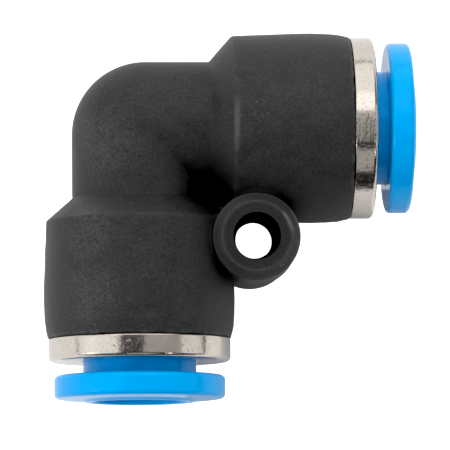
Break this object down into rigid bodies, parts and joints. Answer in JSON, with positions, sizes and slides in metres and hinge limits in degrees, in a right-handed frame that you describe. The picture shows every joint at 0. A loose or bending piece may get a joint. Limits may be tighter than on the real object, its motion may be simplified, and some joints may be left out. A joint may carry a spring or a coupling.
{
  "type": "push to connect fitting",
  "caption": "Push-to-connect union elbow for air tube, with sliding release rings at both ports and a mounting eyelet in the crook.",
  "frame": {"origin": "centre of the mounting eyelet's hole, on the mid-plane of the elbow", "axes": "+Z along the eyelet's hole, +X along the right port outwards, -Y along the front port outwards"},
  "size_m": [0.0242, 0.0242, 0.0124],
  "materials": {
    "moulded_body": "fine matte moulded texture",
    "nickel_plate": "bright nickel plating on turned brass",
    "blue_acetal": "satin moulded acetal",
    "spring_steel": "rolled stainless sheet",
    "inner_plastic": "natural acetal",
    "seal_rubber": "greased nitrile rubber"
  },
  "bodies": {
    "elbow": {"elbow_body": "moulded_body", "right_collar": "nickel_plate", "front_collar": "nickel_plate", "right_lock_claws": "spring_steel", "front_lock_claws": "spring_steel", "right_claw_seat": "inner_plastic", "front_claw_seat": "inner_plastic", "right_back_ring": "inner_plastic", "front_back_ring": "inner_plastic", "right_o_ring": "seal_rubber", "front_o_ring": "seal_rubber"},
    "right_release": {"right_release_ring": "blue_acetal"},
    "front_release": {"front_release_ring": "blue_acetal"}
  },
  "joints": [
    {"name": "right_release_press", "type": "slide", "parent": "elbow", "child": "right_release", "axis": [-1, 0, 0], "range_m": [0, 0.0008], "stiffness_N_per_m": 1500, "deforming": ["right_lock_claws"]},
    {"name": "front_release_press", "type": "slide", "parent": "elbow", "child": "front_release", "axis": [0, 1, 0], "range_m": [0, 0.0008], "stiffness_N_per_m": 1500, "deforming": ["front_lock_claws"]}
  ]
}
